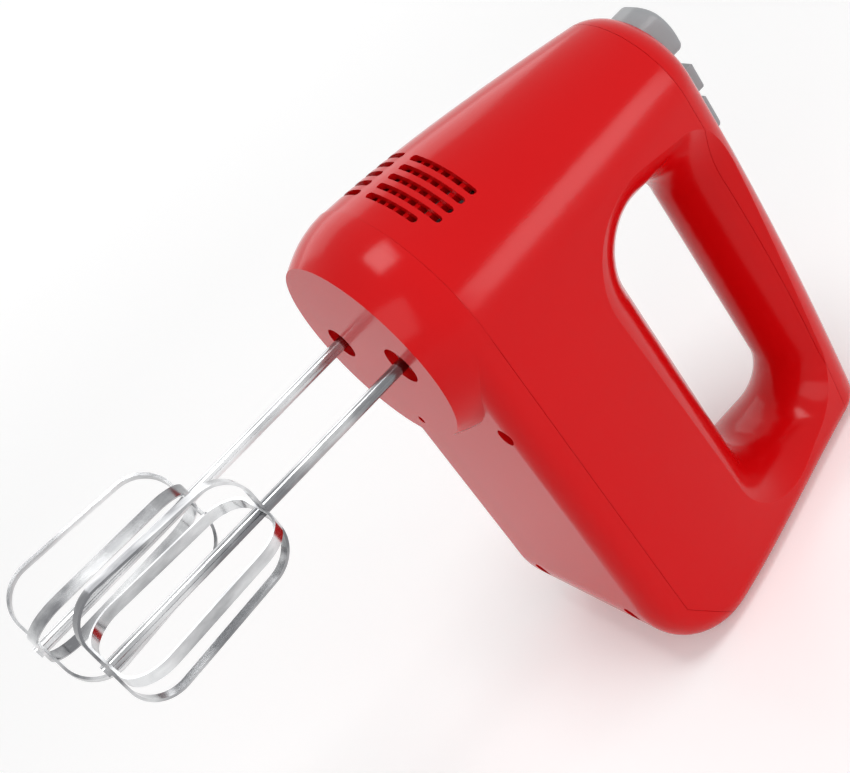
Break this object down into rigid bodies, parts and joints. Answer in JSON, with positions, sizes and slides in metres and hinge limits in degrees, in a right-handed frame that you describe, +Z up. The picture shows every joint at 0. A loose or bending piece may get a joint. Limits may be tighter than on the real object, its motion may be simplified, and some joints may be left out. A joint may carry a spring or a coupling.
{
  "type": "hand mixer",
  "caption": "Electric hand mixer standing on its heel: hollow tapered housing with a looped handle, worm drive, ejector, switches and two wire beaters.",
  "frame": {"origin": "on the flat heel that the mixer stands on, in the symmetry plane, 88 mm above the nose face along the heel", "axes": "+Z up from the heel towards the nose, +X along the heel from the beaters to the handle, +Y to the mixer's right side"},
  "size_m": [0.3077, 0.0908, 0.2139],
  "materials": {
    "red_plastic": "glossy moulded red",
    "grey_plastic": "satin moulded grey",
    "steel_screw": "zinc plated",
    "black_plastic": "moulded black",
    "white_nylon": "moulded nylon",
    "bronze": "sintered bronze or turned copper",
    "die_cast": "die cast",
    "shaft_steel": "ground steel",
    "laminated_steel": "stacked sheet",
    "copper_wire": "enamelled wire",
    "carbon": "pressed carbon",
    "circuit_board": "board with parts",
    "beater_steel": "polished chromed steel"
  },
  "bodies": {
    "housing": {"lower_housing": "red_plastic", "main_housing": "red_plastic", "handle_cover": "red_plastic", "housing_screws": "steel_screw", "gear_bridge": "die_cast", "worm_front_bush": "bronze", "worm_rear_bush": "bronze", "left_spindle_bush": "bronze", "right_spindle_bush": "bronze", "stator_core": "laminated_steel", "field_coils": "copper_wire", "rear_bracket": "die_cast", "rear_bush": "bronze", "motor_bolts": "steel_screw", "left_brush_holder": "black_plastic", "right_brush_holder": "black_plastic", "left_brush": "carbon", "right_brush": "carbon", "speed_switch": "black_plastic", "turbo_switch": "black_plastic", "control_board": "circuit_board", "board_capacitor": "circuit_board", "cord_inlet": "black_plastic"},
    "armature": {"motor_shaft": "shaft_steel", "worm": "shaft_steel", "cooling_fan": "black_plastic", "armature_core": "laminated_steel", "armature_winding": "copper_wire", "commutator": "bronze"},
    "left_drive": {"left_wheel": "white_nylon", "left_spindle": "shaft_steel"},
    "right_drive": {"right_wheel": "white_nylon", "right_spindle": "shaft_steel"},
    "eject": {"eject_button": "grey_plastic", "eject_stem": "white_nylon", "ejector_plate": "white_nylon", "eject_spring": "shaft_steel"},
    "left_pin": {"left_push_pin": "shaft_steel"},
    "right_pin": {"right_push_pin": "shaft_steel"},
    "left_beater": {"left_beater_shaft": "beater_steel", "left_beater_outer_loop": "beater_steel", "left_beater_inner_loop": "beater_steel"},
    "right_beater": {"right_beater_shaft": "beater_steel", "right_beater_outer_loop": "beater_steel", "right_beater_inner_loop": "beater_steel"},
    "speed_slider": {"speed_slider": "grey_plastic"},
    "turbo_button": {"turbo_button": "grey_plastic"}
  },
  "joints": [
    {"name": "armature_spin", "type": "hinge", "parent": "housing", "child": "armature", "pos_m": [-0.04107, 0, 0.16821], "axis": [-0.0175, 0, -0.9998], "continuous": true},
    {"name": "eject_press", "type": "slide", "parent": "housing", "child": "eject", "axis": [-0.9998, 0, 0.0175], "range_m": [0, 0.007], "stiffness_N_per_m": 600, "springref_m": -0.003, "deforming": ["eject_spring"]},
    {"name": "speed_slide", "type": "slide", "parent": "housing", "child": "speed_slider", "axis": [0.0175, 0, 0.9998], "range_m": [0, 0.006]},
    {"name": "turbo_press", "type": "slide", "parent": "housing", "child": "turbo_button", "axis": [-0.9998, 0, 0.0175], "range_m": [0, 0.0025], "stiffness_N_per_m": 500, "springref_m": -0.002},
    {"name": "left_spin", "type": "hinge", "parent": "housing", "child": "left_drive", "pos_m": [-0.08506, -0.02, 0.16897], "axis": [0.9998, 0, -0.0175], "continuous": true},
    {"name": "left_pin_push", "type": "slide", "parent": "left_drive", "child": "left_pin", "axis": [-0.9998, 0, 0.0175], "range_m": [0, 0.007]},
    {"name": "left_beater_pull", "type": "slide", "parent": "left_pin", "child": "left_beater", "axis": [-0.9998, 0, 0.0175], "range_m": [0, 0.042]},
    {"name": "right_spin", "type": "hinge", "parent": "housing", "child": "right_drive", "pos_m": [-0.08506, 0.02, 0.16897], "axis": [0.9998, 0, -0.0175], "continuous": true},
    {"name": "right_pin_push", "type": "slide", "parent": "right_drive", "child": "right_pin", "axis": [-0.9998, 0, 0.0175], "range_m": [0, 0.007]},
    {"name": "right_beater_pull", "type": "slide", "parent": "right_pin", "child": "right_beater", "axis": [-0.9998, 0, 0.0175], "range_m": [0, 0.042]}
  ],
  "couplings": [
    {"joint": "armature_spin", "follows": "left_spin", "ratio": 21},
    {"joint": "right_spin", "follows": "left_spin", "ratio": -1},
    {"joint": "left_pin_push", "follows": "eject_press", "ratio": 1},
    {"joint": "right_pin_push", "follows": "eject_press", "ratio": 1}
  ]
}
